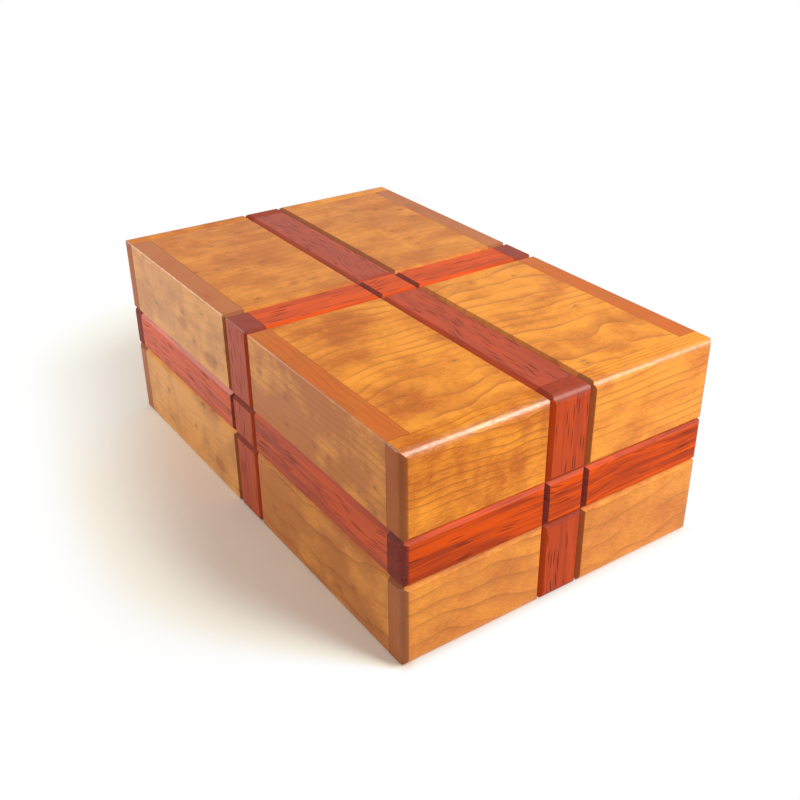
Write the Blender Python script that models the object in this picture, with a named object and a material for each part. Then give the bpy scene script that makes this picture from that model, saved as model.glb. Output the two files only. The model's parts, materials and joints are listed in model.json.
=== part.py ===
"""A closed puzzle box of cherry panels and red strips, with a tray and a hidden lock inside.

The box is long in X, its width is in Y, and it stands on z = 0 with its middle on the Z axis.
Two end caps slide off along X from a ring round the middle, which holds a tray. The ring's two
side strips are keys that slide up. Two steel pins lie in bores beside the ring: tipped outwards,
each enters a mortise in a cap and locks it, and a magnet in each key holds its pin back.
"""
import math

import bmesh
import bpy
from mathutils import Vector

# Outer box
BOX_LENGTH = 0.162
BOX_WIDTH = 0.100
BOX_HEIGHT = 0.0615
WALL = 0.0065
BAND_WIDTH = 0.0131
GROOVE_DEPTH = 0.0011

# Edges: round about each end, only eased along the box's length
END_ROUND = 0.0022
END_SEGMENTS = 6
LONG_EASE = 0.0005
EASE_SEGMENTS = 4

# Fits: glued faces, faces that run past each other, a key past the ring's ends, a cap's flared
# mouth, and a cutter's overrun
GLUE_LINE = 0.0001
RUNNING_GAP = 0.0003
KEY_GAP = 0.0001
LEAD_IN = 0.0008
OVERRUN = 0.001

# Tray
TRAY_WALL = 0.0048
TRAY_FLOOR = 0.0048
TRAY_EASE = 0.0008

# Lock pins, their bores and the square mortises that they enter
PIN_DIAMETER = 0.005
PIN_LENGTH = 0.020
PIN_THROW = 0.005
PIN_RECESS = 0.0006
PIN_CHAMFER = 0.0006
PIN_INSET = 0.0048
BORE_MARGIN = 0.003
SOCKET_PLAY = 0.0005
ROUND_SIDES = 32
SHARP_ANGLE = 30

# Keys: a tongue of T section behind each strip, and the magnet in its head
KEY_TRAVEL = 0.008
KEY_SLOT_RISE = 0.010
NECK_WIDTH = 0.004
HEAD_WIDTH = 0.009
HEAD_DEPTH = 0.007
MAGNET_DIAMETER = 0.005
MAGNET_THICKNESS = 0.0025

# Half sizes and levels that the pieces share
HALF_LENGTH = BOX_LENGTH / 2
HALF_WIDTH = BOX_WIDTH / 2
HALF_BAND = BAND_WIDTH / 2
MID_HEIGHT = BOX_HEIGHT / 2
INNER_LENGTH = HALF_LENGTH - WALL
INNER_WIDTH = HALF_WIDTH - WALL
HALF_GLUE = GLUE_LINE / 2
HALF_RUN = RUNNING_GAP / 2
TRAY_X = INNER_LENGTH - RUNNING_GAP
TRAY_Y = INNER_WIDTH - RUNNING_GAP
TRAY_BOTTOM = WALL + RUNNING_GAP
TRAY_TOP = BOX_HEIGHT - WALL - RUNNING_GAP
FLOOR_TOP = TRAY_BOTTOM + TRAY_FLOOR
BOARD_Y = TRAY_Y - TRAY_WALL - GLUE_LINE
PIN_X = HALF_BAND + PIN_INSET
BORE_RADIUS = PIN_DIAMETER / 2 + RUNNING_GAP
PIN_BOARD_X = PIN_X + BORE_RADIUS + BORE_MARGIN
PIN_OUTER_Y = TRAY_Y - PIN_RECESS
KEY_SLOT_FLOOR = FLOOR_TOP + KEY_SLOT_RISE
HEAD_OUTER_Y = PIN_OUTER_Y - PIN_LENGTH / 2 + HEAD_DEPTH / 2
STRIP_Y = (-HALF_BAND + HALF_GLUE, HALF_BAND - HALF_GLUE)
BAND_Z = (MID_HEIGHT - HALF_BAND + HALF_GLUE, MID_HEIGHT + HALF_BAND - HALF_GLUE)
SIDES = {"front": -1, "back": 1}
LEVELS = {"lower": -1, "upper": 1}


def clear_scene():
    """Remove every object that the file opened with."""
    for old in list(bpy.data.objects):
        bpy.data.objects.remove(old, do_unlink=True)


def make_material(name, colour, roughness, metallic=0.0):
    """A Principled material in one colour."""
    material = bpy.data.materials.new(name)
    material.use_nodes = True
    shader = material.node_tree.nodes["Principled BSDF"]
    shader.inputs["Base Color"].default_value = (*colour, 1.0)
    shader.inputs["Roughness"].default_value = roughness
    shader.inputs["Metallic"].default_value = metallic
    return material


def make_body(name, at):
    """The empty that carries one moving body, on its joint's axis."""
    body = bpy.data.objects.new(name, None)
    body.location = at
    bpy.context.scene.collection.objects.link(body)
    return body


def add_object(name, mesh, at, body=None, material=None):
    """Link a mesh as one named piece at a world place, carried by its body's empty."""
    piece = bpy.data.objects.new(name, mesh)
    piece.location = Vector(at) - (body.location if body else Vector())
    piece.parent = body
    if material:
        mesh.materials.append(material)
    bpy.context.scene.collection.objects.link(piece)
    return piece


def as_cutter(piece):
    """Mark a piece as a cutter or guide, which is no part of the box."""
    piece.hide_render = True
    piece.display_type = "WIRE"
    return piece


def boolean(piece, other, operation, solver="EXACT"):
    """Cut a piece by another, or keep only what both hold."""
    modifier = piece.modifiers.new(other.name, "BOOLEAN")
    modifier.operation = operation
    modifier.solver = solver
    modifier.object = other


def mesh_from(name, shape):
    """Turn a bmesh into a mesh with its faces outward."""
    bmesh.ops.recalc_face_normals(shape, faces=shape.faces)
    mesh = bpy.data.meshes.new(name)
    shape.to_mesh(mesh)
    shape.free()
    return mesh


def box_shape(size):
    """A cuboid about its own middle."""
    shape = bmesh.new()
    bmesh.ops.create_cube(shape, size=1.0)
    bmesh.ops.scale(shape, vec=size, verts=shape.verts)
    return shape


def add_box(name, spans, body=None, material=None):
    """A cuboid between the low and high ends of its X, Y and Z spans."""
    size = [high - low for low, high in spans]
    middle = [(high + low) / 2 for low, high in spans]
    return add_object(name, mesh_from(name, box_shape(size)), middle, body, material)


def rod_shape(radius, length, chamfer=0.0):
    """A rod along Y about its own middle, with its ends chamfered."""
    shape = bmesh.new()
    bmesh.ops.create_cone(
        shape,
        cap_ends=True,
        segments=ROUND_SIDES,
        radius1=radius,
        radius2=radius,
        depth=length,
    )
    bmesh.ops.rotate(
        shape,
        verts=shape.verts,
        matrix=Vector((0, 0, 1)).rotation_difference(Vector((0, 1, 0))).to_matrix(),
    )
    if chamfer:
        rims = [edge for edge in shape.edges if any(len(face.verts) > 4 for face in edge.link_faces)]
        bmesh.ops.bevel(
            shape, geom=rims, offset=chamfer, segments=1, profile=0.5, affect="EDGES", material=-1
        )
    return shape


def add_round(name, shape, at, body, material):
    """A turned piece, shaded smooth round its side."""
    mesh = mesh_from(name, shape)
    mesh.shade_smooth()
    mesh.set_sharp_from_angle(angle=math.radians(SHARP_ANGLE))
    add_object(name, mesh, at, body, material)


def prism_shape(outline, height):
    """An outline in X and Y, raised along Z about the middle of its height."""
    shape = bmesh.new()
    corners = [shape.verts.new((x, y, -height / 2)) for x, y in outline]
    face = shape.faces.new(corners)
    raised = bmesh.ops.extrude_face_region(shape, geom=[face])
    top = [item for item in raised["geom"] if isinstance(item, bmesh.types.BMVert)]
    bmesh.ops.translate(shape, vec=(0, 0, height), verts=top)
    return shape


def outward(sign, inner, outer):
    """The span between two distances from the middle, on the side that the sign names."""
    return tuple(sorted((sign * inner, sign * outer)))


def level_span(sign, inner, outer):
    """The same span, about the box's mid height."""
    low, high = outward(sign, inner, outer)
    return MID_HEIGHT + low, MID_HEIGHT + high


def groove_ring(axis, place):
    """A V-section ring round the box, on a plane across the given axis."""
    half_sizes = (HALF_LENGTH, HALF_WIDTH, MID_HEIGHT)
    first, second = [other for other in range(3) if other != axis]
    rings = (
        (place, -GROOVE_DEPTH),
        (place - GROOVE_DEPTH - OVERRUN, OVERRUN),
        (place + GROOVE_DEPTH + OVERRUN, OVERRUN),
    )
    corner_signs = ((-1, -1), (1, -1), (1, 1), (-1, 1))
    shape = bmesh.new()
    loops = []
    for along, proud in rings:
        loop = []
        for first_sign, second_sign in corner_signs:
            corner = [0.0, 0.0, 0.0]
            corner[axis] = along
            corner[first] = first_sign * (half_sizes[first] + proud)
            corner[second] = second_sign * (half_sizes[second] + proud)
            loop.append(shape.verts.new(corner))
        loops.append(loop)
    count = len(corner_signs)
    for loop, following in zip(loops, loops[1:] + loops[:1]):
        for index in range(count):
            after = (index + 1) % count
            shape.faces.new((loop[index], loop[after], following[after], following[index]))
    name = f"groove_{'xyz'[axis]}_{'low' if place < 0 else 'high'}"
    return as_cutter(add_object(name, mesh_from(name, shape), (0, 0, MID_HEIGHT)))


def rounded_block(axis, radius, segments):
    """The box's blank, overlong along one axis and with its edges along it rounded."""
    size = [BOX_LENGTH, BOX_WIDTH, BOX_HEIGHT]
    size[axis] += 2 * OVERRUN
    shape = box_shape(size)
    along = [edge for edge in shape.edges if edge.verts[0].co[axis] != edge.verts[1].co[axis]]
    bmesh.ops.bevel(
        shape, geom=along, offset=radius, segments=segments, profile=0.5, affect="EDGES", material=-1
    )
    name = f"block_{'xyz'[axis]}"
    return as_cutter(add_object(name, mesh_from(name, shape), (0, 0, MID_HEIGHT)))


def make_envelope():
    """The outside of the whole closed box, rounded along its edges and grooved along its strips.

    The rounds at the ends meet in mitres, as each was run straight along its own edge.
    Grooves cross in shared lines, where the EXACT solver leaves open edges, so this is MANIFOLD's.
    """
    envelope = rounded_block(0, LONG_EASE, EASE_SEGMENTS)
    for axis in (1, 2):
        boolean(envelope, rounded_block(axis, END_ROUND, END_SEGMENTS), "INTERSECT", "MANIFOLD")
    for axis in range(3):
        for place in (-HALF_BAND, HALF_BAND):
            boolean(envelope, groove_ring(axis, place), "DIFFERENCE", "MANIFOLD")
    return envelope


def add_outer(name, spans, body, material, envelope):
    """One outer piece: a cuboid blank, trimmed to the outside of the box."""
    piece = add_box(name, spans, body, material)
    boolean(piece, envelope, "INTERSECT", "MANIFOLD")
    return piece


def make_lead_in(end, sign):
    """The flare cut inside a cap's mouth, which leads the cap onto the tray."""
    reach = LEAD_IN + OVERRUN
    shape = box_shape((reach, 2 * INNER_WIDTH, BOX_HEIGHT - 2 * WALL))
    for corner in shape.verts:
        if corner.co.x * sign < 0:
            corner.co.y += math.copysign(reach, corner.co.y)
            corner.co.z += math.copysign(reach, corner.co.z)
    name = f"{end}_lead_in"
    middle = HALF_BAND + HALF_RUN + LEAD_IN - reach / 2
    return as_cutter(add_object(name, mesh_from(name, shape), (sign * middle, 0, MID_HEIGHT)))


def make_end_wall(end, sign, body, cherry, red, envelope):
    """A cap's end wall: one band right across it, two posts and four panels."""
    wall_x = outward(sign, INNER_LENGTH, HALF_LENGTH + OVERRUN)
    full_y = (-HALF_WIDTH - OVERRUN, HALF_WIDTH + OVERRUN)
    add_outer(f"{end}_end_band", (wall_x, full_y, BAND_Z), body, red, envelope)
    for level, up in LEVELS.items():
        beyond_band = level_span(up, HALF_BAND + HALF_GLUE, MID_HEIGHT + OVERRUN)
        add_outer(f"{end}_end_post_{level}", (wall_x, STRIP_Y, beyond_band), body, red, envelope)
        for side, out in SIDES.items():
            panel_y = outward(out, HALF_BAND + HALF_GLUE, HALF_WIDTH + OVERRUN)
            name = f"{end}_end_panel_{side}_{level}"
            add_outer(name, (wall_x, panel_y, beyond_band), body, cherry, envelope)


def make_cap(end, sign, body, cherry, red, envelope):
    """One end cap: an end wall, the halves of the long walls, and the halves of top and bottom."""
    make_end_wall(end, sign, body, cherry, red, envelope)
    half_x = outward(sign, HALF_BAND + HALF_RUN, INNER_LENGTH - GLUE_LINE)
    lead_in = make_lead_in(end, sign)
    pieces = []
    for side, out in SIDES.items():
        side_y = outward(out, INNER_WIDTH, HALF_WIDTH + OVERRUN)
        for level, up in LEVELS.items():
            beyond_band = level_span(up, HALF_BAND + HALF_GLUE, MID_HEIGHT + OVERRUN)
            name = f"{end}_{side}_panel_{level}"
            pieces.append(add_outer(name, (half_x, side_y, beyond_band), body, cherry, envelope))
        band = add_outer(f"{end}_{side}_band", (half_x, side_y, BAND_Z), body, red, envelope)
        pieces.append(band)
        if out == -sign:
            cut_socket(band, sign, out)
    for cover, up in (("bottom", -1), ("top", 1)):
        cover_z = level_span(up, MID_HEIGHT - WALL, MID_HEIGHT + OVERRUN)
        strip = f"{end}_{cover}_strip"
        pieces.append(add_outer(strip, (half_x, STRIP_Y, cover_z), body, red, envelope))
        for side, out in SIDES.items():
            panel_y = outward(out, HALF_BAND + HALF_GLUE, INNER_WIDTH - GLUE_LINE)
            name = f"{end}_{cover}_panel_{side}"
            pieces.append(add_outer(name, (half_x, panel_y, cover_z), body, cherry, envelope))
    for piece in pieces:
        boolean(piece, lead_in, "DIFFERENCE", "MANIFOLD")


def cut_socket(band, sign, out):
    """The square mortise in a cap's band that a lock pin enters."""
    reach = PIN_THROW - PIN_RECESS - RUNNING_GAP + SOCKET_PLAY
    half_side = PIN_DIAMETER / 2 + SOCKET_PLAY
    spans = (
        (sign * PIN_X - half_side, sign * PIN_X + half_side),
        outward(out, INNER_WIDTH - OVERRUN, INNER_WIDTH + reach),
        (MID_HEIGHT - half_side, MID_HEIGHT + half_side),
    )
    boolean(band, as_cutter(add_box(f"socket_{band.name}", spans)), "DIFFERENCE")


def make_ring(red, envelope):
    """The ring's top and bottom strips, glued to the centre board and to the tray's floor."""
    ring_x = (-HALF_BAND + HALF_RUN, HALF_BAND - HALF_RUN)
    ring_y = (-INNER_WIDTH + KEY_GAP, INNER_WIDTH - KEY_GAP)
    top_z = (TRAY_TOP + GLUE_LINE, BOX_HEIGHT + OVERRUN)
    bottom_z = (-OVERRUN, TRAY_BOTTOM - GLUE_LINE)
    add_outer("ring_top_strip", (ring_x, ring_y, top_z), None, red, envelope)
    add_outer("ring_bottom_strip", (ring_x, ring_y, bottom_z), None, red, envelope)


def tongue_outline(out, slack, start, end):
    """The T section of a key's tongue, from start to end outside its head, grown by the slack."""
    neck = NECK_WIDTH / 2 + slack
    head = HEAD_WIDTH / 2 + slack
    shoulder = HEAD_OUTER_Y + slack
    points = (
        (-neck, start),
        (-neck, shoulder),
        (-head, shoulder),
        (-head, end),
        (head, end),
        (head, shoulder),
        (neck, shoulder),
        (neck, start),
    )
    return [(x, out * y) for x, y in points]


def make_tray_envelope():
    """The outside of the tray, with its edges eased so that the caps slide on freely."""
    shape = box_shape((2 * TRAY_X, 2 * TRAY_Y, TRAY_TOP - TRAY_BOTTOM))
    bmesh.ops.bevel(
        shape,
        geom=shape.edges[:],
        offset=TRAY_EASE,
        segments=EASE_SEGMENTS,
        profile=0.5,
        affect="EDGES",
        material=-1,
    )
    middle = (0, 0, (TRAY_TOP + TRAY_BOTTOM) / 2)
    return as_cutter(add_object("tray_envelope", mesh_from("tray_envelope", shape), middle))


def make_tray(cherry, core_wood):
    """The tray, the three boards across its middle, and the bores and key slots in them."""
    outline = make_tray_envelope()
    floor_z = (TRAY_BOTTOM - OVERRUN, FLOOR_TOP)
    rim_z = (FLOOR_TOP + GLUE_LINE, TRAY_TOP + OVERRUN)
    wall_z = (FLOOR_TOP + GLUE_LINE, TRAY_TOP)
    full_x = (-TRAY_X - OVERRUN, TRAY_X + OVERRUN)
    full_y = (-TRAY_Y - OVERRUN, TRAY_Y + OVERRUN)
    board_y = (-BOARD_Y, BOARD_Y)
    add_outer("tray_floor", (full_x, full_y, floor_z), None, core_wood, outline)
    walls = {}
    for side, out in SIDES.items():
        span = outward(out, TRAY_Y - TRAY_WALL, TRAY_Y + OVERRUN)
        name = f"tray_{side}_wall"
        walls[side] = add_outer(name, (full_x, span, rim_z), None, cherry, outline)
    boards = {}
    for end, sign in (("near", 1), ("far", -1)):
        span = outward(sign, TRAY_X - TRAY_WALL, TRAY_X + OVERRUN)
        add_outer(f"tray_{end}_wall", (span, board_y, rim_z), None, cherry, outline)
        span = outward(sign, HALF_BAND + GLUE_LINE, PIN_BOARD_X)
        boards[end] = add_box(f"{end}_pin_board", (span, board_y, wall_z), None, core_wood)
    centre = add_box("centre_board", ((-HALF_BAND, HALF_BAND), board_y, wall_z), None, core_wood)
    slot_height = TRAY_TOP + OVERRUN - KEY_SLOT_FLOOR
    for side, end, out, sign in (("front", "near", -1, 1), ("back", "far", 1, -1)):
        section = tongue_outline(
            out, RUNNING_GAP, TRAY_Y + OVERRUN, HEAD_OUTER_Y - HEAD_DEPTH - RUNNING_GAP
        )
        name = f"{side}_key_slot"
        at = (0, 0, KEY_SLOT_FLOOR + slot_height / 2)
        slot = as_cutter(add_object(name, mesh_from(name, prism_shape(section, slot_height)), at))
        boolean(walls[side], slot, "DIFFERENCE")
        boolean(centre, slot, "DIFFERENCE")
        bore_length = PIN_RECESS + PIN_LENGTH + RUNNING_GAP + OVERRUN
        name = f"{end}_pin_bore"
        at = (sign * PIN_X, out * (TRAY_Y + OVERRUN - bore_length / 2), MID_HEIGHT)
        bore = as_cutter(add_object(name, mesh_from(name, rod_shape(BORE_RADIUS, bore_length)), at))
        boolean(walls[side], bore, "DIFFERENCE")
        boolean(boards[end], bore, "DIFFERENCE")


def make_key(side, out, sign, body, red, core_wood, steel, envelope):
    """One key: the ring's side strip, the tongue behind it, and the magnet in the tongue's head."""
    strip_x = (-HALF_BAND + HALF_RUN, HALF_BAND - HALF_RUN)
    strip_y = outward(out, INNER_WIDTH, HALF_WIDTH + OVERRUN)
    strip_z = (-OVERRUN, BOX_HEIGHT + OVERRUN)
    add_outer(f"{side}_key_strip", (strip_x, strip_y, strip_z), body, red, envelope)
    low = KEY_SLOT_FLOOR + RUNNING_GAP
    height = TRAY_TOP - KEY_TRAVEL - RUNNING_GAP - low
    outline = tongue_outline(out, 0, INNER_WIDTH - GLUE_LINE, HEAD_OUTER_Y - HEAD_DEPTH)
    name = f"{side}_key_tongue"
    mesh = mesh_from(name, prism_shape(outline, height))
    tongue = add_object(name, mesh, (0, 0, low + height / 2), body, core_wood)
    pocket_depth = MAGNET_THICKNESS + GLUE_LINE + OVERRUN
    magnet_y = out * (HEAD_OUTER_Y - HEAD_DEPTH / 2)
    pocket_at = (sign * (HEAD_WIDTH / 2 + OVERRUN - pocket_depth / 2), magnet_y, MID_HEIGHT)
    magnet_at = (sign * (HEAD_WIDTH - MAGNET_THICKNESS) / 2, magnet_y, MID_HEIGHT)
    pocket = rod_shape(MAGNET_DIAMETER / 2 + GLUE_LINE, pocket_depth)
    magnet = rod_shape(MAGNET_DIAMETER / 2, MAGNET_THICKNESS)
    for shape in (pocket, magnet):
        to_x = Vector((0, 1, 0)).rotation_difference(Vector((1, 0, 0))).to_matrix()
        bmesh.ops.rotate(shape, verts=shape.verts, matrix=to_x)
    name = f"{side}_magnet_pocket"
    cutter = add_object(name, mesh_from(name, pocket), pocket_at, body)
    boolean(tongue, as_cutter(cutter), "DIFFERENCE")
    add_round(f"{side}_key_magnet", magnet, magnet_at, body, steel)


def make_pin(end, out, sign, steel):
    """One lock pin, drawn in: its outer end lies inside the tray's wall."""
    shape = rod_shape(PIN_DIAMETER / 2, PIN_LENGTH, PIN_CHAMFER)
    at = (sign * PIN_X, out * (PIN_OUTER_Y - PIN_LENGTH / 2), MID_HEIGHT)
    add_round(f"{end}_lock_pin", shape, at, None, steel)


def main():
    """Build the whole box, closed and with its pins drawn in."""
    clear_scene()
    cherry = make_material("cherry", (0.60, 0.27, 0.09), 0.35)
    red = make_material("red_wood", (0.47, 0.10, 0.04), 0.35)
    core_wood = make_material("core_wood", (0.52, 0.30, 0.13), 0.5)
    steel = make_material("steel", (0.62, 0.62, 0.64), 0.3, 1.0)
    envelope = make_envelope()
    for end, sign in (("near", 1), ("far", -1)):
        body = make_body(f"{end}_cap", (sign * (HALF_BAND + HALF_RUN), 0, MID_HEIGHT))
        make_cap(end, sign, body, cherry, red, envelope)
    make_ring(red, envelope)
    make_tray(cherry, core_wood)
    for side, end, out, sign in (("front", "near", -1, 1), ("back", "far", 1, -1)):
        body = make_body(f"{side}_key", (0, out * INNER_WIDTH, 0))
        make_key(side, out, sign, body, red, core_wood, steel, envelope)
        make_pin(end, out, sign, steel)


main()
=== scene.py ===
"""The looks of a closed puzzle box: figured cherry panels, red wood strips, and the tray inside.

Every board is a copy of its CAD node with its groove lips eased, in a solid wood pattern that
runs along the board's own grain and shows end grain where the board is cut across.
"""
import json
import math
from typing import NamedTuple

import bmesh
import bpy
from mathutils import Matrix, Vector


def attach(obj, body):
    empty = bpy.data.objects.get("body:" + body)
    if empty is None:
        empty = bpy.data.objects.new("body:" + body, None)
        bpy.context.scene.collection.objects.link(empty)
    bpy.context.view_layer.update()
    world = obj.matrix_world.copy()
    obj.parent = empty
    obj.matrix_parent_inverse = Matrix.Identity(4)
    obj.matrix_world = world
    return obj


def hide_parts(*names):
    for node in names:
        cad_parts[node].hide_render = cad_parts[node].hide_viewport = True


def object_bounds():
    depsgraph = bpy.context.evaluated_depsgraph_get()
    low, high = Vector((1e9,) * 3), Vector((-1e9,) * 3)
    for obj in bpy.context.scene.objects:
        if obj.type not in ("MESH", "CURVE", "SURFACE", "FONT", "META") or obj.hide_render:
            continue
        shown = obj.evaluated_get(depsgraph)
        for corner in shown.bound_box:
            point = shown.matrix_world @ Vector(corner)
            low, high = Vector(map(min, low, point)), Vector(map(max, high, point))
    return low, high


bl_info = {
    "name": "Puzzle box",
    "version": (1, 0, 0),
    "blender": (4, 5, 0),
    "location": "View3D > Sidebar > Puzzle Box",
    "description": "Builds a cherry puzzle box with crossing strips of red wood",
    "category": "Add Mesh",
}

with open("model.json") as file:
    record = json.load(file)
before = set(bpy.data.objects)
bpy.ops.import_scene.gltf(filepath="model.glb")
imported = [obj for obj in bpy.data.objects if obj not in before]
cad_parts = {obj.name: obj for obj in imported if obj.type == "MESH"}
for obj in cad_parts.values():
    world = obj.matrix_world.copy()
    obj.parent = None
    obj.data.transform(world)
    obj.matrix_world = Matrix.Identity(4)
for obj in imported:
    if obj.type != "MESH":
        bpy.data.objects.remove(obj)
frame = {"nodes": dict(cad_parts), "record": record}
CAD_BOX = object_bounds()
BODIES = frame["record"]["behaviour"]["bodies"]
BODY_OF = {node: body for body, nodes in BODIES.items() for node in nodes}

# Corners closer than this are one, and neighbouring faces that turn less than this are one flat
MERGE_DISTANCE = 1e-6
FLAT_ANGLE = math.radians(0.5)
# Edges that turn by more than this stay sharp in the shading
SHARP_ANGLE = math.radians(30)
# A groove's lip and an end's mitre turn by an angle between these
BLUNT_ANGLE = math.radians(31)
STEEP_ANGLE = math.radians(75)
# How deep a groove's lip may lie where it runs over a rounded end, and how far the rounding goes
SKIN_DEPTH = 0.0009
ROUND_DEPTH = 0.0021
# How deep the middle of a groove's face may lie
GROOVE_DEPTH = 0.0012
# How fast a face gains polish as it leans upward
UPWARD_POLISH = 2.0
LIP_SEGMENTS = 2
# How much a face's size counts for the normals at its corners
FACE_WEIGHT = 100


class Board(NamedTuple):
    """How one kind of board is cut from its wood, and how it shines."""

    wood: str
    # The world axes along, across and through the board, and where in the pattern it is cut
    axes: str
    shift: tuple
    # How pale the wood is, and how far it has dulled or faded; on the long walls' boards this also
    # holds painted shade and a painted reflection
    pale: float = 0.0
    dull: float = 0.0
    faded: float = 0.0
    # How strongly its edges have their own colour, how worn that is, and how dark its end grain is
    edge: float = 0.0
    worn: float = 0.2
    ends: float = 0.85
    # How strong its streaks are, and in what share of the places for pores it has them
    streaks: float = 0.5
    pores: float = 0.8
    # How clear, how far apart and how wavy its growth lines are
    lines: float = 0.8
    rings: float = 1.0
    waves: float = 1.0
    # How strong its clouds and its curl are, and in what share of the places for eyes it has them
    clouds: float = 1.0
    curls: float = 0.3
    eyes: float = 0.06
    # How much its flats, its rounded edges and its grooves shine
    sheen: float = 0.35
    gloss: float = 1.0
    grooves: float = 0.1


# Every kind of board, under the name that its material gets
BOARDS = {
    "curly_end_panel": Board(
        "cherry", "YZX", (13.0, 41.0, 7.0),
        lines=0.95, clouds=1.05, curls=0.9, eyes=0.0, sheen=0.2, grooves=0.15,
    ),
    "pale_end_panel": Board(
        "cherry", "YZX", (37.0, 3.0, 52.0), pale=0.3,
        rings=0.8, waves=0.25, clouds=1.3, eyes=0.0, gloss=0.5, grooves=0.15,
    ),
    "plain_end_panel": Board(
        "cherry", "YZX", (61.0, 17.0, 23.0), pale=-0.03, faded=0.07,
        lines=0.7, rings=1.9, waves=0.9, clouds=0.7, eyes=0.0,
    ),
    # The near side's boards are darker: partly their own tone, partly painted shade for the side's
    # darkening toward the near corner
    "side_panel": Board(
        "cherry", "XZY", (57.0, 11.0, 29.0), pale=-0.6, faded=0.15, edge=0.8, worn=0.05,
        lines=0.7, waves=0.8, clouds=2.2, eyes=0.16, gloss=0.35,
    ),
    "arched_side_panel": Board(
        "cherry", "XZY", (5.0, 31.0, 47.0), pale=-0.42, faded=0.2, edge=0.8,
        rings=2.4, waves=1.3, clouds=1.3,
    ),
    # The far side's boards are paler and yellower: partly their own faded tone, partly a painted
    # reflection of the bright floor
    "faded_and_sheen_side_panel": Board(
        "cherry", "XZY", (23.0, 71.0, 5.0), pale=0.12, faded=0.4, edge=0.8, worn=0.85,
        lines=0.3, rings=1.3, waves=0.9, clouds=2.0, curls=0.9, eyes=0.16, sheen=0.5, gloss=0.6,
    ),
    "cover_panel": Board(
        "cherry", "YXZ", (0.0, 23.0, 61.0), ends=0.5, rings=1.5, waves=1.5, clouds=1.4,
    ),
    "pale_cover_panel": Board(
        "cherry", "YXZ", (29.0, 47.0, 11.0), pale=0.24, ends=0.5,
        rings=1.8, waves=1.5, clouds=1.3, sheen=0.45,
    ),
    "faded_cover_panel": Board(
        "cherry", "YXZ", (51.0, 7.0, 37.0), pale=-0.17, faded=0.12,
        lines=0.4, rings=1.5, clouds=0.95, eyes=0.12,
    ),
    "tray_long": Board("cherry", "XZY", (91.0, 3.0, 17.0)),
    "tray_short": Board("cherry", "YZX", (31.0, 83.0, 5.0)),
    "end_band": Board(
        "red_wood", "YZX", (53.0, 19.0, 37.0), pale=-0.08,
        streaks=1.1, pores=0.4, sheen=0.05, grooves=0.35,
    ),
    "end_post": Board(
        "red_wood", "ZYX", (71.0, 5.0, 2.0), pale=-0.1, dull=0.3, ends=0.45, pores=0.9, sheen=0.1,
    ),
    "side_band": Board(
        "red_wood", "XZY", (43.0, 67.0, 9.0), dull=0.25, streaks=1.1, pores=0.7, grooves=0.6,
    ),
    # The far band is paler: partly its own tone, partly a painted reflection of the bright floor
    "pale_side_band": Board(
        "red_wood", "XZY", (11.0, 41.0, 73.0), pale=0.25, dull=0.1,
        streaks=1.1, pores=0.7, sheen=0.45, grooves=1.8,
    ),
    "cover_strip": Board(
        "red_wood", "XYZ", (17.0, 53.0, 31.0), pale=-0.1, dull=0.6, ends=0.3,
        streaks=1.0, pores=1.0, sheen=0.45,
    ),
    "grey_cover_strip": Board(
        "red_wood", "XYZ", (17.0, 53.0, 31.0), pale=-0.1, dull=0.7, ends=0.3,
        streaks=0.9, pores=1.0, sheen=0.75,
    ),
    "ring_strip": Board(
        "red_wood", "YXZ", (87.0, 29.0, 47.0), pale=0.2, streaks=0.7, pores=0.6, sheen=0.3,
    ),
    "key_strip": Board("red_wood", "ZXY", (7.0, 97.0, 59.0), dull=0.5, ends=0.6, pores=1.0),
    "tray_floor": Board("core_wood", "XYZ", (5.0, 37.0, 3.0)),
    "cross_board": Board("core_wood", "YZX", (67.0, 7.0, 11.0)),
    "tongue": Board("core_wood", "ZYX", (19.0, 13.0, 43.0)),
}

# The kind of board that each end panel is
END_PANELS = {
    "front_upper": "curly_end_panel",
    "back_upper": "pale_end_panel",
    "front_lower": "plain_end_panel",
    "back_lower": "plain_end_panel",
}


class Noise(NamedTuple):
    """A noise: how long its blots are along, across and through a board, in millimetres.

    With a step, its values go from 0 to 1 between the step's two numbers.
    """

    lengths: tuple
    detail: float = 2.0
    roughness: float = 0.5
    offset: float = 0.0
    step: tuple = ()


class Specks(NamedTuple):
    """Long specks: the lengths of the cells that they lie in, in millimetres, and their size.

    With two lengths they are sheets that every face of the board cuts, also a groove's slopes.
    """

    lengths: tuple
    size: float
    offset: float = 0.0


# Lengths in a wood pattern are in millimetres
PER_METRE = 1000.0
# How far growth rings and sheets of specks lean as they go through a board
LEAN = 1.6
# The sockets of a colour's Mix node: its factor and its two colours, and the blend that comes out
MIX_INPUTS = (0, 6, 7)
MIX_OUTPUT = 2
# The middle of a noise's values
MIDDLE = 0.5
# How much of a speck is solid within its soft rim, and over what share of the cells they thin out
SOLID = 0.55
SHARE_RIM = 0.02
# The step that brings out fibre and streaks
SOFT_STEP = (0.3, 0.7)
# How squarely a face cuts the grain where end grain begins to show, and where it shows in full
SAWN_STEP = (0.1, 0.45)
# The pits of the end grain, and how deep they are beside the fibre
PIT = Specks((3.0, 0.9, 0.9), 0.3)
PIT_DEPTH = 0.4
# The finish, and how much rougher end grain and grooves are under it
COAT_ROUGHNESS = 0.36
COAT_IOR = 2.2
CUT_ROUGHNESS = 0.1
GROOVE_ROUGHNESS = 0.45


def length_property(name, description, default, least, most):
    """A length that a user can change."""
    return bpy.props.FloatProperty(
        name=name,
        description=description,
        default=default,
        min=least,
        max=most,
        precision=5,
        unit="LENGTH",
    )


def colour_property(name, description, default):
    """A colour that a user can change."""
    return bpy.props.FloatVectorProperty(
        name=name,
        description=description,
        default=default,
        size=3,
        min=0.0,
        max=1.0,
        subtype="COLOR",
    )


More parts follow.
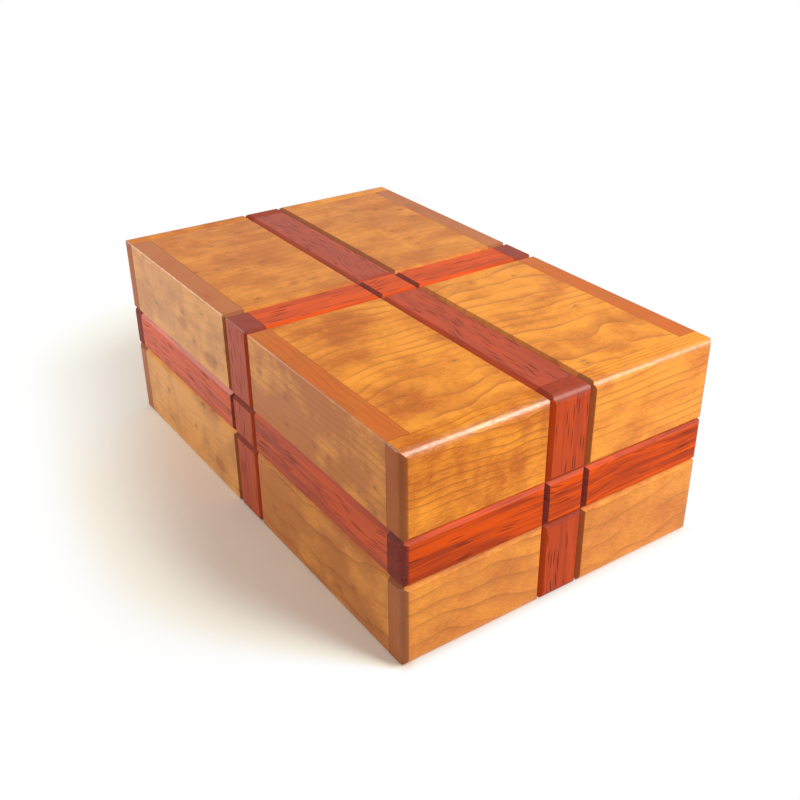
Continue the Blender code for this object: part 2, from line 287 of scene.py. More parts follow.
class PUZZLEBOX_PG_sizes(bpy.types.PropertyGroup):
    """Sizes of the dressed boards and of their figure."""

    lip: length_property(
        "Groove lip", "How far the lips of the grooves are eased", 0.00014, 0.0, 0.0005
    )
    ring_spacing: length_property(
        "Growth ring spacing", "Distance between growth rings in the cherry", 0.0027, 0.0005, 0.01
    )
    pore_length: length_property(
        "Pore length", "Length of the open pores in the red wood", 0.006, 0.001, 0.02
    )
    pore_width: length_property(
        "Pore width", "Width of the open pores in the red wood", 0.0003, 0.0001, 0.001
    )


class PUZZLEBOX_PG_colours(bpy.types.PropertyGroup):
    """Colours of the woods, the metals and the floor."""

    cherry_light: colour_property(
        "Cherry, light", "The cherry where its figure is brightest", (0.98, 0.36, 0.025)
    )
    cherry_dark: colour_property(
        "Cherry, dark", "The cherry where its figure is darkest", (0.58, 0.14, 0.008)
    )
    cherry_line: colour_property(
        "Cherry growth line", "The late wood of each growth ring", (0.44, 0.11, 0.008)
    )
    cherry_edge: colour_property(
        "Cherry edge", "The cherry on the edges of its boards", (0.74, 0.14, 0.003)
    )
    # On the far side's boards this faded colour is partly a painted reflection of the floor
    cherry_faded: colour_property(
        "Cherry, faded", "The cherry of the boards that have turned yellow", (0.86, 0.47, 0.15)
    )
    cherry_end: colour_property(
        "Cherry end grain", "The cherry where it is cut across its grain", (0.46, 0.115, 0.032)
    )
    cherry_fleck: colour_property(
        "Cherry gum fleck", "The short dark gum flecks in the cherry", (0.17, 0.06, 0.02)
    )
    red_bright: colour_property(
        "Red wood, bright", "The orange streaks of the red wood", (0.84, 0.10, 0.004)
    )
    red_deep: colour_property(
        "Red wood, deep", "The red and purple streaks of the red wood", (0.42, 0.05, 0.012)
    )
    red_dull: colour_property(
        "Red wood, dull", "The dull red of the strips that lie along the box", (0.42, 0.058, 0.022)
    )
    red_pore: colour_property("Red wood pore", "The open pores of the red wood", (0.10, 0.016, 0.012))
    red_end: colour_property(
        "Red wood end grain", "The red wood where it is cut across its grain", (0.21, 0.05, 0.045)
    )
    core_light: colour_property(
        "Core wood, light", "The tray's boards, early wood", (0.62, 0.42, 0.22)
    )
    core_dark: colour_property(
        "Core wood, dark", "The tray's boards, late wood", (0.42, 0.25, 0.11)
    )
    steel: colour_property("Steel", "The lock pins", (0.60, 0.60, 0.62))
    nickel: colour_property("Nickel", "The magnets' plating", (0.66, 0.64, 0.60))
    floor: colour_property("Floor", "The floor in the light", (0.82, 0.81, 0.80))


class Socket:
    """A number that comes out of a node; arithmetic on it adds Math nodes."""

    def __init__(self, tree, socket):
        self.tree = tree
        self.socket = socket

    def maths(self, operation, *values):
        """A Math node on these values, in this order."""
        return self.tree.node("ShaderNodeMath", {"operation": operation}, dict(enumerate(values)))

    def __add__(self, other):
        return self.maths("ADD", self, other)

    __radd__ = __add__

    def __sub__(self, other):
        return self.maths("SUBTRACT", self, other)

    def __rsub__(self, other):
        return self.maths("SUBTRACT", other, self)

    def __mul__(self, other):
        return self.maths("MULTIPLY", self, other)

    __rmul__ = __mul__

    def __truediv__(self, other):
        return self.maths("DIVIDE", self, other)

    def __pow__(self, other):
        return self.maths("POWER", self, other)

    def __abs__(self):
        return self.maths("ABSOLUTE", self)

    def above(self, other):
        """The larger of this and another number."""
        return self.maths("MAXIMUM", self, other)

    def fraction(self):
        """What is left over above the whole number."""
        return self.maths("FRACT", self)

    def smooth(self, low, high):
        """A soft step from 0 at low to 1 at high."""
        return self.tree.node(
            "ShaderNodeMapRange",
            {"interpolation_type": "SMOOTHSTEP"},
            {"Value": self, "From Min": low, "From Max": high},
        )


class Tree:
    """The nodes of a material or the world, and the one way that they are added."""

    def __init__(self, owner, shader):
        self.owner = owner
        self.owner.use_nodes = True
        self.tree = self.owner.node_tree
        self.shader = self.tree.nodes[shader]

    def node(self, kind, settings=None, sockets=None, output=0):
        """Add a node, set it up, feed its sockets, and give one of its outputs."""
        made = self.tree.nodes.new(kind)
        for name, value in (settings or {}).items():
            setattr(made, name, value)
        for name, value in (sockets or {}).items():
            self.feed(made.inputs[name], value)
        return Socket(self, made.outputs[output])

    def feed(self, socket, value):
        """Link a socket to another's output, or set its value."""
        if isinstance(value, Socket):
            self.tree.links.new(value.socket, socket)
        else:
            socket.default_value = value

    def shade(self, **values):
        """Feed or set the main shader's sockets, named with underscores for spaces."""
        for name, value in values.items():
            self.feed(self.shader.inputs[name.replace("_", " ")], value)

    def mix(self, factor, first, second):
        """Blend two colours."""
        first, second = [
            (*value, 1.0) if not isinstance(value, Socket) else value for value in (first, second)
        ]
        sockets = dict(zip(MIX_INPUTS, (factor, first, second)))
        return self.node("ShaderNodeMix", {"data_type": "RGBA"}, sockets, MIX_OUTPUT)

    def split(self, name, axes):
        """The parts of some texture coordinates along these axes."""
        vector = self.node("ShaderNodeTexCoord", output=name)
        return [self.node("ShaderNodeSeparateXYZ", sockets={0: vector}, output=axis) for axis in axes]

    def place(self, axes, shift=(0.0, 0.0, 0.0)):
        """Where a point lies along, across and through a board, in millimetres."""
        parts = self.split("Object", axes)
        return [part * PER_METRE + offset for part, offset in zip(parts, shift)]

    def facing(self, axis):
        """How squarely a face looks along an axis, from either side."""
        [part] = self.split("Normal", axis)
        return abs(part)

    def finish(self):
        """How polished a face is, and whether it lies in a groove, as make_board wrote them."""
        return [
            self.node("ShaderNodeAttribute", {"attribute_name": name}, output="Fac")
            for name in ("polish", "groove")
        ]

    def seen(self, *kinds):
        """1 for a ray of one of these kinds, such as Camera, and 0 for the others."""
        most, *others = [self.node("ShaderNodeLightPath", output=f"Is {kind} Ray") for kind in kinds]
        for other in others:
            most = most.above(other)
        return most

    def spread(self, parts, pattern):
        """A vector in which each direction is measured in the pattern's own length."""
        scaled = [part / length + pattern.offset for part, length in zip(parts, pattern.lengths)]
        return self.node("ShaderNodeCombineXYZ", sockets=dict(enumerate(scaled)))

    def noise(self, parts, pattern):
        """The values of a noise at a place in a board."""
        sockets = {
            "Vector": self.spread(parts, pattern),
            "Scale": 1.0,
            "Detail": pattern.detail,
            "Roughness": pattern.roughness,
        }
        values = self.node("ShaderNodeTexNoise", {"noise_dimensions": "3D"}, sockets)
        return values.smooth(*pattern.step) if pattern.step else values

    def specks(self, parts, pattern, share):
        """1 inside the specks of a pattern that has one in this share of its cells."""
        if len(pattern.lengths) == 2:
            parts = [parts[0], parts[1] + parts[2] * LEAN]
        settings = {"voronoi_dimensions": f"{len(pattern.lengths)}D", "feature": "F1"}
        sockets = {"Vector": self.spread(parts, pattern), "Scale": 1.0, "Randomness": 1.0}
        distance = self.node("ShaderNodeTexVoronoi", settings, sockets, "Distance")
        colour = self.node("ShaderNodeTexVoronoi", settings, sockets, "Color")
        chance = self.node("ShaderNodeSeparateColor", sockets={0: colour})
        inside = 1.0 - distance.smooth(pattern.size * SOLID, pattern.size)
        return inside * (1.0 - chance.smooth(share - SHARE_RIM, share))

    def bump(self, height, distance):
        """A normal raised by a height in the surface."""
        sockets = {"Height": height, "Distance": distance, "Strength": 1.0}
        return self.node("ShaderNodeBump", sockets=sockets)


# How the cherry's growth lines wander and fade, its mottled figure and curl, and its fibre
RING_DRIFT = Noise((90.0, 44.0, 44.0), detail=0.0)
RING_SWAY = Noise((18.0, 26.0, 26.0), detail=1.0, offset=5.0)
LINE_STRENGTH = Noise((24.0, 6.0, 6.0), offset=9.0, step=(0.25, 0.6))
FIGURE = Noise((10.0, 8.0, 8.0), roughness=0.55, offset=3.0, step=(0.3, 0.7))
CLOUD = Noise((22.0, 14.0, 14.0), detail=1.0, offset=7.0, step=(0.35, 0.65))
CURL = Noise((5.0, 12.0, 12.0), detail=1.0, offset=4.0, step=(0.35, 0.65))
FIBRE = Noise((1.8, 0.35, 0.35), roughness=0.7, offset=1.0)
# Its gum flecks, the soft eyes round them, and its broad darker blooms
FLECK = Specks((7.0, 4.5), 0.12)
EYE = Specks((7.0, 4.5), 0.36)
BLOOM = Specks((18.0, 10.0, 10.0), 0.3, offset=2.0)
BLOOM_SHARE = 0.4
CHERRY_PIT_SHARE = 0.5
# How many millimetres the growth lines drift and sway, and how thin they are
DRIFT_REACH = 26.0
SWAY_REACH = 7.0
LINE_SHARPNESS = 5.0
# The tone of plain cherry, and how far its clouds, its curl and its fibre change that
CHERRY_TONE = 0.275
CLOUD_TONE = 0.4
CURL_TONE = 0.4
FIBRE_TONE = 0.45
# How strongly blooms, eyes and flecks darken it
BLOOM_SHADE = 0.25
EYE_SHADE = 0.3
FLECK_SHADE = 0.45
# How squarely a face looks across the board where it begins to count as its edge, and where it does
EDGE_STEP = (0.75, 0.98)
# How much of the line colour an edge takes from the figure, the fibre and the growth lines
EDGE_FIGURE = 0.3
EDGE_FIBRE = 0.3
EDGE_LINES = 0.6
# How much darker end grain is in its fibre, in its pits and where it is cut aslant
SOAK = 0.3
SOAK_STEP = (0.35, 0.65)
SQUARE_STEP = (0.9, 1.0)
# How rough plain cherry is, how much smoother its figure is, and how deep its fibre and flecks are
CHERRY_ROUGHNESS = 0.42
FIGURE_SMOOTHNESS = 0.06
CHERRY_RELIEF = 0.000035
FLECK_DEPTH = 0.8
# The finish on a polished edge, and how much more of it lies on the fibre
CHERRY_COAT = 0.45
FIBRE_COAT = 0.4
FIBRE_COAT_STEP = (0.35, 0.6)


def cherry(name, board, sizes, colours):
    """Satin cherry: wavy growth lines, mottled figure, gum flecks and darker end grain."""
    tree = Tree(bpy.data.materials.new(name), "Principled BSDF")
    parts = tree.place(board.axes, board.shift)
    along, edge = tree.facing(board.axes[0]), tree.facing(board.axes[1])
    drift = (tree.noise(parts, RING_DRIFT) - MIDDLE) * DRIFT_REACH
    sway = (tree.noise(parts, RING_SWAY) - MIDDLE) * SWAY_REACH
    spacing = sizes.ring_spacing * PER_METRE * board.rings
    growth = (parts[1] + parts[2] * LEAN + (drift + sway) * board.waves) / spacing
    line = growth.fraction() ** LINE_SHARPNESS * tree.noise(parts, LINE_STRENGTH)
    figure = tree.noise(parts, FIGURE)
    fibre = tree.noise(parts, FIBRE)
    clouds = (figure + tree.noise(parts, CLOUD) - 1.0) * board.clouds * CLOUD_TONE
    curl = (tree.noise(parts, CURL) - MIDDLE) * board.curls * CURL_TONE
    soft = fibre.smooth(*SOFT_STEP)
    tone = CHERRY_TONE + clouds + curl + soft * FIBRE_TONE + board.pale
    colour = tree.mix(tone, colours.cherry_dark, colours.cherry_light)
    colour = tree.mix(board.faded, colour, colours.cherry_faded)
    colour = tree.mix(line * board.lines, colour, colours.cherry_line)
    bloom = tree.specks(parts, BLOOM, BLOOM_SHARE) * board.clouds
    colour = tree.mix(bloom * BLOOM_SHADE, colour, colours.cherry_line)
    eye = tree.specks(parts, EYE, board.eyes)
    colour = tree.mix(eye * EYE_SHADE, colour, colours.cherry_line)
    fleck = tree.specks(parts, FLECK, board.eyes)
    colour = tree.mix(fleck * FLECK_SHADE, colour, colours.cherry_fleck)
    grain = figure * EDGE_FIGURE + soft * EDGE_FIBRE + line * EDGE_LINES
    rim = tree.mix(grain, colours.cherry_edge, colours.cherry_line)
    rim = tree.mix(board.worn, rim, colours.cherry_end)
    colour = tree.mix(edge.smooth(*EDGE_STEP) * board.edge, colour, rim)
    pits = tree.specks(parts, PIT, CHERRY_PIT_SHARE)
    slant = 1.0 - along.smooth(*SQUARE_STEP)
    soaked = (fibre.smooth(*SOAK_STEP) + pits + slant) * SOAK
    cross = tree.mix(soaked, colours.cherry_end, colours.cherry_fleck)
    cut = along.smooth(*SAWN_STEP) * board.ends
    polish, groove = tree.finish()
    smoothness = figure * FIGURE_SMOOTHNESS
    tree.shade(
        Base_Color=tree.mix(cut, colour, cross),
        Roughness=CHERRY_ROUGHNESS - smoothness + cut * CUT_ROUGHNESS + groove * GROOVE_ROUGHNESS,
        Normal=tree.bump(fibre - fleck * FLECK_DEPTH - pits * PIT_DEPTH, CHERRY_RELIEF),
        Specular_IOR_Level=board.sheen,
        Coat_Weight=polish * (CHERRY_COAT + fibre.smooth(*FIBRE_COAT_STEP) * FIBRE_COAT),
        Coat_Roughness=COAT_ROUGHNESS,
        Coat_IOR=COAT_IOR,
    )
    return tree.owner


# How the red wood's grain sways, its broad and fine streaks, its dark veins, and where pores crowd
GRAIN_SWAY = Noise((40.0, 20.0, 20.0), detail=1.0)
BROAD_STREAK = Noise((60.0, 4.5, 4.5), offset=4.0, step=(0.34, 0.62))
FINE_STREAK = Noise((26.0, 0.8, 0.8), roughness=0.6, offset=8.0)
VEIN = Noise((45.0, 1.5, 1.5), roughness=0.6, offset=6.0, step=(0.5, 0.62))
CROWD = Noise((22.0, 4.0, 4.0), detail=1.0, offset=2.0, step=(0.36, 0.46))
# How many millimetres the grain sways
SWAY_WIDTH = 5.0
# The tone of plain red wood, the streaks' own middle, and how much each of them counts
RED_TONE = 0.5
STREAK_MIDDLE = 0.4
BROAD_TONE = 0.6
FINE_TONE = 0.4
VEIN_TONE = 0.5
# How much longer and wider a pore's cell is than the pore, its size in there and how dark it is
PORE_CELL = (2.6, 2.4)
PORE_SIZE = 0.2
PORE_SHADE = 0.85
# The end grain: in what share of the places for pits it has them, and how dark its fine streaks are
RED_PIT_SHARE = 0.7
FINE_STEP = (0.4, 0.6)
FINE_SHADE = 0.3
# How rough plain red wood is, how much rougher its pores are, how deep pores and fine streaks are,
# and the finish on a polished edge
RED_ROUGHNESS = 0.44
PORE_ROUGHNESS = 0.3
RED_RELIEF = 0.00006
FINE_RELIEF = 0.4
RED_COAT = 0.22


def red_wood(name, board, sizes, colours):
    """Satin red wood: orange, red and purple streaks, long open pores and dark end grain."""
    tree = Tree(bpy.data.materials.new(name), "Principled BSDF")
    parts = tree.place(board.axes, board.shift)
    sway = (tree.noise(parts, GRAIN_SWAY) - MIDDLE) * SWAY_WIDTH
    bent = [parts[0], parts[1] + sway, parts[2] + sway]
    fine = tree.noise(bent, FINE_STREAK)
    streak = tree.noise(bent, BROAD_STREAK) * BROAD_TONE + fine.smooth(*SOFT_STEP) * FINE_TONE
    streak = streak - tree.noise(bent, VEIN) * VEIN_TONE
    tone = RED_TONE + (streak - STREAK_MIDDLE) * board.streaks + board.pale
    colour = tree.mix(tone, colours.red_deep, colours.red_bright)
    colour = tree.mix(board.dull, colour, colours.red_dull)
    sawn = tree.facing(board.axes[0]).smooth(*SAWN_STEP)
    polish, groove = tree.finish()
    pore = (sizes.pore_length, sizes.pore_width)
    cells = Specks(tuple(size * PER_METRE * room for size, room in zip(pore, PORE_CELL)), PORE_SIZE)
    crowd = tree.noise(bent, CROWD) * (1.0 - groove) * (1.0 - sawn)
    pores = tree.specks(bent, cells, board.pores) * crowd
    colour = tree.mix(pores * PORE_SHADE, colour, colours.red_pore)
    pits = tree.specks(parts, PIT, RED_PIT_SHARE)
    cross = tree.mix(fine.smooth(*FINE_STEP) * FINE_SHADE + pits, colours.red_end, colours.red_pore)
    cut = sawn * board.ends
    dry = cut * CUT_ROUGHNESS + pores * PORE_ROUGHNESS + groove * GROOVE_ROUGHNESS
    tree.shade(
        Base_Color=tree.mix(cut, colour, cross),
        Roughness=RED_ROUGHNESS + dry,
        Normal=tree.bump(fine * FINE_RELIEF - pores - pits * PIT_DEPTH, RED_RELIEF),
        Specular_IOR_Level=board.sheen,
        Coat_Weight=polish * RED_COAT,
        Coat_Roughness=COAT_ROUGHNESS,
        Coat_IOR=COAT_IOR,
    )
    return tree.owner


# The tray's plain wood: how its rings sway, in millimetres and in rings, and how thin they are
CORE_SWAY = Noise((60.0, 25.0, 25.0), detail=1.0)
CORE_FIBRE = Noise((20.0, 0.4, 0.4), roughness=0.6)
CORE_RINGS = 5.0
CORE_SHARPNESS = 3.0
CORE_SAWN_STEP = (0.5, 0.95)
# How much its rings, fibre and end grain darken it
CORE_LINE = 0.45
CORE_GRAIN = 0.4
CORE_CUT = 0.4
CORE_ROUGHNESS = 0.55
CORE_FIBRE_ROUGHNESS = 0.1
CORE_RELIEF = 0.00005


def core_wood(name, board, sizes, colours):
    """The plain pale wood of the tray: straight even grain under a thin oil."""
    tree = Tree(bpy.data.materials.new(name), "Principled BSDF")
    parts = tree.place(board.axes, board.shift)
    sway = (tree.noise(parts, CORE_SWAY) - MIDDLE) * CORE_RINGS
    growth = (parts[1] + parts[2]) / (sizes.ring_spacing * PER_METRE) + sway
    fibre = tree.noise(parts, CORE_FIBRE)
    cut = tree.facing(board.axes[0]).smooth(*CORE_SAWN_STEP)
    tone = growth.fraction() ** CORE_SHARPNESS * CORE_LINE + fibre * CORE_GRAIN + cut * CORE_CUT
    tree.shade(
        Base_Color=tree.mix(tone, colours.core_light, colours.core_dark),
        Roughness=CORE_ROUGHNESS + fibre * CORE_FIBRE_ROUGHNESS,
        Normal=tree.bump(fibre, CORE_RELIEF),
    )
    return tree.owner


# The marks that turning leaves round a pin or magnet, how much they roughen it and how deep they are
TURNING = Noise((0.12, 4.0, 4.0))
TURNING_ROUGHNESS = 0.12
TURNING_DEPTH = 0.000006
STEEL_ROUGHNESS = 0.24
NICKEL_ROUGHNESS = 0.16


def metal(name, colour, roughness, axes):
    """Plain metal with fine turning marks."""
    tree = Tree(bpy.data.materials.new(name), "Principled BSDF")
    marks = tree.noise(tree.place(axes), TURNING)
    tree.shade(
        Base_Color=(*colour, 1.0),
        Metallic=1.0,
        Roughness=roughness + marks * TURNING_ROUGHNESS,
        Normal=tree.bump(marks, TURNING_DEPTH),
    )
    return tree.owner


WOODS = {"cherry": cherry, "red_wood": red_wood, "core_wood": core_wood}


def board_material(kind, scene):
    """The material of one kind of board, made the first time that it is asked for."""
    found = bpy.data.materials.get(kind)
    if found:
        return found
    board = BOARDS[kind]
    return WOODS[board.wood](kind, board, scene.puzzle_box_sizes, scene.puzzle_box_colours)


def depths(point):
    """How far a point lies beneath the flats of the whole box, the nearest flat first."""
    low, high = CAD_BOX
    return sorted(min(point[axis] - low[axis], high[axis] - point[axis]) for axis in range(3))


def finish_of(face, board):
    """How polished a face is, most on rounded edges that lean upward, and whether it is a groove's."""
    if max(abs(part) for part in face.normal) > math.cos(FLAT_ANGLE):
        return 0.0, 0.0
    upward = min(1.0, max(0.0, face.normal.z) * UPWARD_POLISH)
    nearest, second = depths(face.calc_center_median())[:2]
    if second < ROUND_DEPTH:
        return upward * board.gloss, 0.0
    return upward * board.grooves, float(nearest < GROOVE_DEPTH)


def is_lip(edge):
    """Whether an edge is a groove's lip or an end's mitre: blunt, and on the box's own outside."""
    if len(edge.link_faces) != 2 or not edge.is_convex:
        return False
    if not BLUNT_ANGLE < edge.calc_face_angle() < STEEP_ANGLE:
        return False
    return all(depths(corner.co)[0] < SKIN_DEPTH for corner in edge.verts)


def make_board(node, kind, scene):
    """Stand a dressed board in for a CAD node: its flats made whole, its groove lips eased."""
    shape = bmesh.new()
    shape.from_mesh(frame["nodes"][node].data)
    bmesh.ops.remove_doubles(shape, verts=shape.verts, dist=MERGE_DISTANCE)
    bmesh.ops.dissolve_limit(
        shape,
        angle_limit=FLAT_ANGLE,
        verts=shape.verts,
        edges=shape.edges,
        use_dissolve_boundaries=False,
    )
    lips = [edge for edge in shape.edges if is_lip(edge)]
    if lips:
        bmesh.ops.bevel(
            shape,
            geom=lips,
            offset=scene.puzzle_box_sizes.lip,
            segments=LIP_SEGMENTS,
            profile=0.5,
            affect="EDGES",
            material=-1,
            clamp_overlap=True,
        )
    polish = shape.faces.layers.float.new("polish")
    groove = shape.faces.layers.float.new("groove")
    for face in shape.faces:
        face.smooth = True
        face[polish], face[groove] = finish_of(face, BOARDS[kind])
    for edge in shape.edges:
        edge.smooth = len(edge.link_faces) == 2 and edge.calc_face_angle() < SHARP_ANGLE
    mesh = bpy.data.meshes.new(f"{node}_board")
    shape.to_mesh(mesh)
    shape.free()
    board = bpy.data.objects.new(f"{node}_board", mesh)
    bpy.context.scene.collection.objects.link(board)
    mesh.materials.append(board_material(kind, scene))
    weights = board.modifiers.new("even flats", "WEIGHTED_NORMAL")
    weights.keep_sharp = True
    weights.weight = FACE_WEIGHT
    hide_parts(node)
    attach(board, BODY_OF[node])
    return board


def nodes_with(*words):
    """The CAD nodes whose names hold all of these words."""
    return [node for node in frame["nodes"] if all(word in node for word in words)]


class PUZZLEBOX_OT_end_walls(bpy.types.Operator):
    """Dress the two end walls: four cherry panels, a band and two posts each"""

    bl_idname = "puzzle_box.end_walls"
    bl_label = "End walls"

    def execute(self, context):
        """Make the panels, bands and posts."""
        for node in nodes_with("_end_panel_"):
            make_board(node, END_PANELS[node.partition("_panel_")[2]], context.scene)
        for node in nodes_with("_end_band"):
            make_board(node, "end_band", context.scene)
        for node in nodes_with("_end_post_"):
            make_board(node, "end_post", context.scene)
        return {"FINISHED"}


class PUZZLEBOX_OT_long_walls(bpy.types.Operator):
    """Dress the long walls: cherry panels above and below a red band"""

    bl_idname = "puzzle_box.long_walls"
    bl_label = "Long walls"

    def execute(self, context):
        """Make the panels and bands of the front and the back."""
        for side in ("front", "back"):
            # The near boards are darker, partly painted shade
            make_board(f"near_{side}_panel_upper", "side_panel", context.scene)
            make_board(f"near_{side}_panel_lower", "arched_side_panel", context.scene)
            # The far boards are paler and yellower, partly a painted reflection of the floor
            for level in ("upper", "lower"):
                make_board(f"far_{side}_panel_{level}", "faded_and_sheen_side_panel", context.scene)
            make_board(f"near_{side}_band", "side_band", context.scene)
            # The far band is paler, partly a painted reflection of the floor
            make_board(f"far_{side}_band", "pale_side_band", context.scene)
        return {"FINISHED"}


class PUZZLEBOX_OT_covers(bpy.types.Operator):
    """Dress the top and the bottom: cherry panels beside a lengthwise red strip"""

    bl_idname = "puzzle_box.covers"
    bl_label = "Top and bottom"

    def execute(self, context):
        """Make the panels and strips of both caps."""
        for cover in ("top", "bottom"):
            make_board(f"near_{cover}_panel_front", "cover_panel", context.scene)
            make_board(f"near_{cover}_panel_back", "pale_cover_panel", context.scene)
            for side in ("front", "back"):
                make_board(f"far_{cover}_panel_{side}", "faded_cover_panel", context.scene)
            make_board(f"near_{cover}_strip", "cover_strip", context.scene)
            make_board(f"far_{cover}_strip", "grey_cover_strip", context.scene)
        return {"FINISHED"}


class PUZZLEBOX_OT_ring(bpy.types.Operator):
    """Dress the ring's top and bottom strips"""

    bl_idname = "puzzle_box.ring"
    bl_label = "Ring strips"

    def execute(self, context):
        """Make the two strips."""
        for cover in ("top", "bottom"):
            make_board(f"ring_{cover}_strip", "ring_strip", context.scene)
        return {"FINISHED"}


class PUZZLEBOX_OT_keys(bpy.types.Operator):
    """Dress the two keys: a red strip, its tongue and its magnet"""

    bl_idname = "puzzle_box.keys"
    bl_label = "Keys"

    def execute(self, context):
        """Make the strips and tongues, and plate the magnets."""
        nickel = metal("nickel", context.scene.puzzle_box_colours.nickel, NICKEL_ROUGHNESS, "YZX")
        for side in ("front", "back"):
            make_board(f"{side}_key_strip", "key_strip", context.scene)
            make_board(f"{side}_key_tongue", "tongue", context.scene)
            frame["nodes"][f"{side}_key_magnet"].data.materials.clear()
            frame["nodes"][f"{side}_key_magnet"].data.materials.append(nickel)
        return {"FINISHED"}


class PUZZLEBOX_OT_tray(bpy.types.Operator):
    """Dress the tray and the three boards across its middle"""

    bl_idname = "puzzle_box.tray"
    bl_label = "Tray"

    def execute(self, context):
        """Make the floor, the walls and the boards."""
        make_board("tray_floor", "tray_floor", context.scene)
        for side in ("front", "back"):
            make_board(f"tray_{side}_wall", "tray_long", context.scene)
        for end in ("near", "far"):
            make_board(f"tray_{end}_wall", "tray_short", context.scene)
            make_board(f"{end}_pin_board", "cross_board", context.scene)
        make_board("centre_board", "cross_board", context.scene)
        return {"FINISHED"}


class PUZZLEBOX_OT_pins(bpy.types.Operator):
    """Give the lock pins their ground steel"""

    bl_idname = "puzzle_box.pins"
    bl_label = "Lock pins"

    def execute(self, context):
        """Set the steel on both pins."""
        steel = metal("steel", context.scene.puzzle_box_colours.steel, STEEL_ROUGHNESS, "YXZ")
        for end in ("near", "far"):
            frame["nodes"][f"{end}_lock_pin"].data.materials.clear()
            frame["nodes"][f"{end}_lock_pin"].data.materials.append(steel)
        return {"FINISHED"}


class PUZZLEBOX_OT_stage(bpy.types.Operator):
    """Set the pale floor, the soft lights, the white surround and the camera"""

    bl_idname = "puzzle_box.stage"
    bl_label = "Stage"

    def execute(self, context):
        """Make the floor, lights, world and camera."""
        make_floor(context.scene.puzzle_box_colours.floor)
        make_world(context.scene)
        for lamp in LAMPS:
            make_light(*lamp)
        make_camera(context.scene)
        return {"FINISHED"}


WHITE = (1.0, 1.0, 1.0)
# The floor's directions toward the camera and to the left, by their parts along X and Y
TOWARD = (0.815, -0.579)
LEFT = (-0.579, -0.815)
# Between what distances the painted shadow border fades to the left, and how much sooner that is
# nearer the camera
SHADOW_FADE = (0.0634, 0.121)
SHADOW_SLANT = 0.412
# How far toward the camera the shadow goes, and how soft its painted border is by the box and farther
# left
SHADOW_FRONT = 0.0957
FRONT_SOFTNESS = 0.0049
FRONT_SPREAD = 0.85
LEAST_SOFTNESS = 0.002
# Where the shadow's painted border ends on the right, and behind the box, where that border slants
RIGHT_FADE = (-0.004, -0.01)
BACK_SLANT = 1.2
BACK_FADE = (0.2, 0.28)
# The glowing floor beside the shadow is warm white, a painted warm light, and less so beside the far
# end
PAINTED_WARM_WHITE = (1.0, 0.955, 0.84)
PAINTED_WARMTH_STEP = (0.0, 0.3)
FAR_END = (-0.03, -0.085)
FAR_WARMTH_FADE = 0.6
# The floor where it shows the rendered shadow, tinted with painted warm light by the near end and less
# by the far end
NEAR_SHADE_PAINTED_WARM = (0.94, 0.86, 0.75)
FAR_SHADE_PAINTED_WARM = (0.98, 0.97, 0.89)
# How far round the box's base the floor shows its rendered shade, a dark contact line, instead of
# glowing
CONTACT_STEP = (-0.002, 0.0022)
FLOOR_RADIUS = 3.0
FLOOR_CORNERS = 64
FLOOR_ROUGHNESS = 0.9
# The surround: the heights between which its ceiling dims, and how dark that looks in reflections
CEILING_STEP = (0.15, 0.4)
CEILING_SHADE = 1.3
# How much light it gives, in what tint, and how much less of it comes from the front
SURROUND_LIGHT = 0.5
SURROUND_TINT = (1.0, 0.985, 0.96)
FRONT_STEP = (0.0, -0.8)
FRONT_SHADE = 0.1
# The lamps' names, places, sizes and powers in watts
LAMPS = (
    ("window light", (0.29, 0.23, 0.34), 0.28, 1.75),
    ("fill light", (-0.27, -0.21, 0.19), 0.22, 0.45),
)
LAMP_TINT = (1.0, 0.97, 0.93)
# The photograph's camera, worked out from the box's corners and strips: its place, its direction and
# roll, and in pixels of the square picture its focal length and the point that it looks at
CAMERA_PLACE = (0.23829, -0.15569, 0.18078)
CAMERA_DIRECTION = (-0.71347, 0.50679, -0.48386)
CAMERA_ROLL = math.radians(0.174)
PICTURE_SIZE = 800
FOCAL_LENGTH = 1037.6
PICTURE_CENTRE = (425.0, 396.2)
SENSOR_WIDTH = 36.0
NEAREST_SEEN = 0.01


def beyond(tree, *spans):
    """How far a point of the floor lies outside a rectangle, given by its spans along X and Y."""
    total = 0.0
    for part, (low, high) in zip(tree.split("Object", "XY"), spans):
        total = total + (low - part).above(part - high).above(0.0) ** 2.0
    return total**0.5


def shadow_share(tree):
    """How much of the box's rendered shadow the floor keeps, all close to the box, none farther out:
    this mask paints the shadow's soft border.
    """
    x, y = tree.split("Object", "XY")
    toward = x * TOWARD[0] + y * TOWARD[1]
    left = x * LEFT[0] + y * LEFT[1]
    softness = (left * FRONT_SPREAD + FRONT_SOFTNESS).above(LEAST_SOFTNESS)
    borders = (
        (left + toward * SHADOW_SLANT).smooth(*SHADOW_FADE),
        ((toward - SHADOW_FRONT) / softness).smooth(-1.0, 0.0),
        left.smooth(*RIGHT_FADE),
        (left * BACK_SLANT - toward).smooth(*BACK_FADE),
    )
    share = 1.0
    for border in borders:
        share = share * (1.0 - border)
    return share


